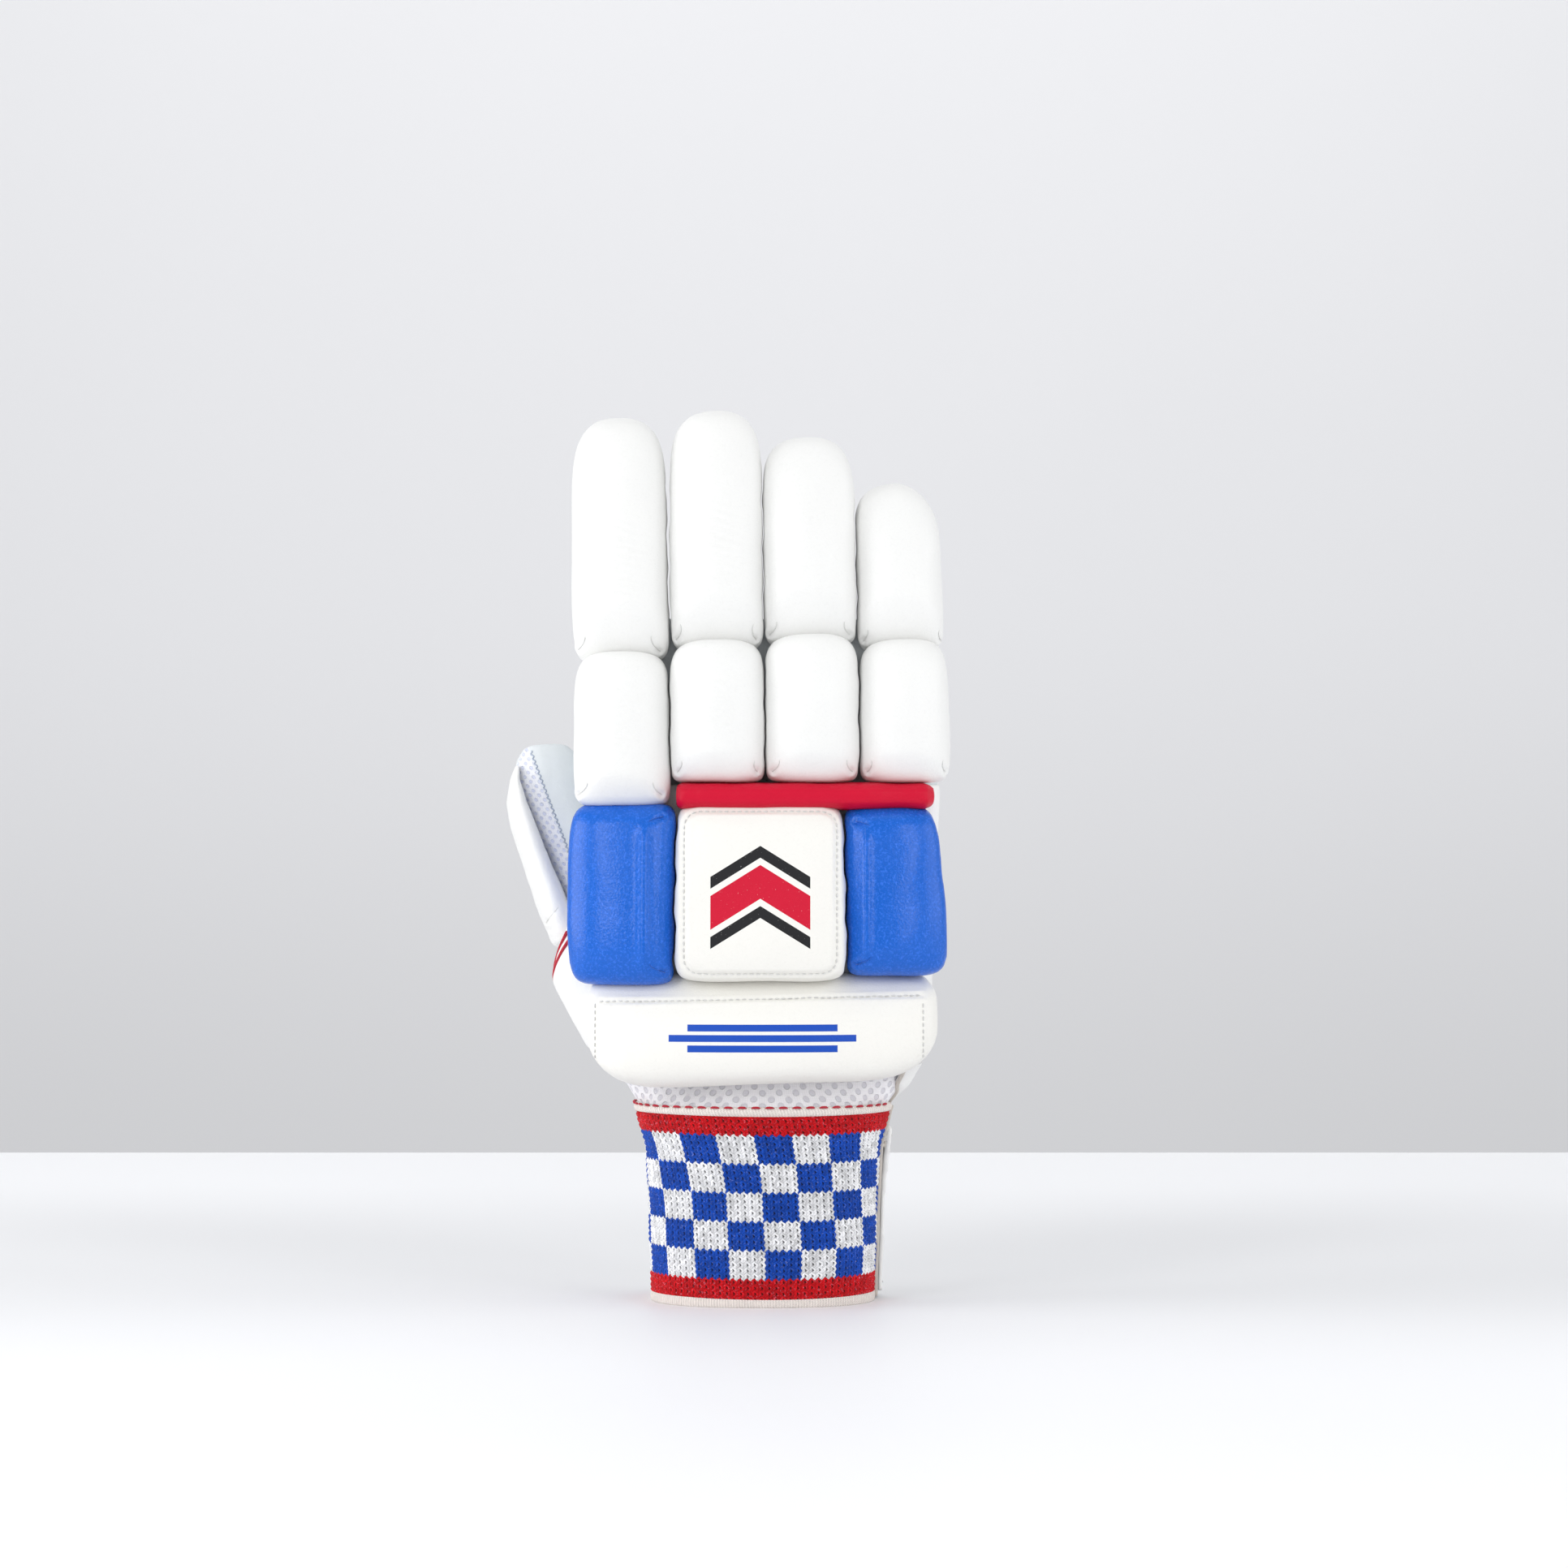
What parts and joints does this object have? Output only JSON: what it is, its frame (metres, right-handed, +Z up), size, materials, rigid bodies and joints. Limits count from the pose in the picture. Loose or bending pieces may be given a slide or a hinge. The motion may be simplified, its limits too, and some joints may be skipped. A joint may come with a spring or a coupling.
{
  "type": "cricket batting glove",
  "caption": "Right-hand padded batting glove with finger rolls, knuckle bar, wrist guard, hollow stalls and a strapped knitted cuff, standing upright.",
  "frame": {"origin": "centre of the glove's box in X and Y, at the foot of the wrist cuff", "axes": "+Z up along the fingers, the back of the hand faces -Y, the thumb is on the -X side"},
  "size_m": [0.147, 0.0716, 0.2905],
  "materials": {
    "white_leather": "white coated leather with a fine grain and a soft sheen",
    "blue_leather": "blue coated leather with a fine pebbled grain",
    "red_leather": "red coated leather, smooth",
    "palm_leather": "pale grey soft leather, matt",
    "mesh_fabric": "white air mesh with small round holes",
    "knit_band": "knitted elastic in blue and white checks with red edges",
    "strap_leather": "white coated leather strap",
    "binding": "cream woven tape",
    "piping": "red cord piping"
  },
  "bodies": {
    "root": {"knit_band": "knit_band", "band_binding": "binding", "wrist_strap": "strap_leather", "back_panel": "mesh_fabric", "palm_panel": "palm_leather", "wrist_guard": "white_leather", "back_pad_index": "blue_leather", "back_pad_centre": "white_leather", "back_pad_little": "blue_leather", "knuckle_bar": "red_leather", "index_stall": "palm_leather", "middle_stall": "palm_leather", "ring_stall": "palm_leather", "little_stall": "palm_leather", "index_lower_roll": "white_leather", "middle_lower_roll": "white_leather", "ring_lower_roll": "white_leather", "little_lower_roll": "white_leather", "index_upper_roll": "white_leather", "middle_upper_roll": "white_leather", "ring_upper_roll": "white_leather", "little_upper_roll": "white_leather", "thumb_stall": "palm_leather", "thumb_roll": "white_leather", "piping_front": "piping", "piping_rear": "piping"}
  },
  "joints": []
}
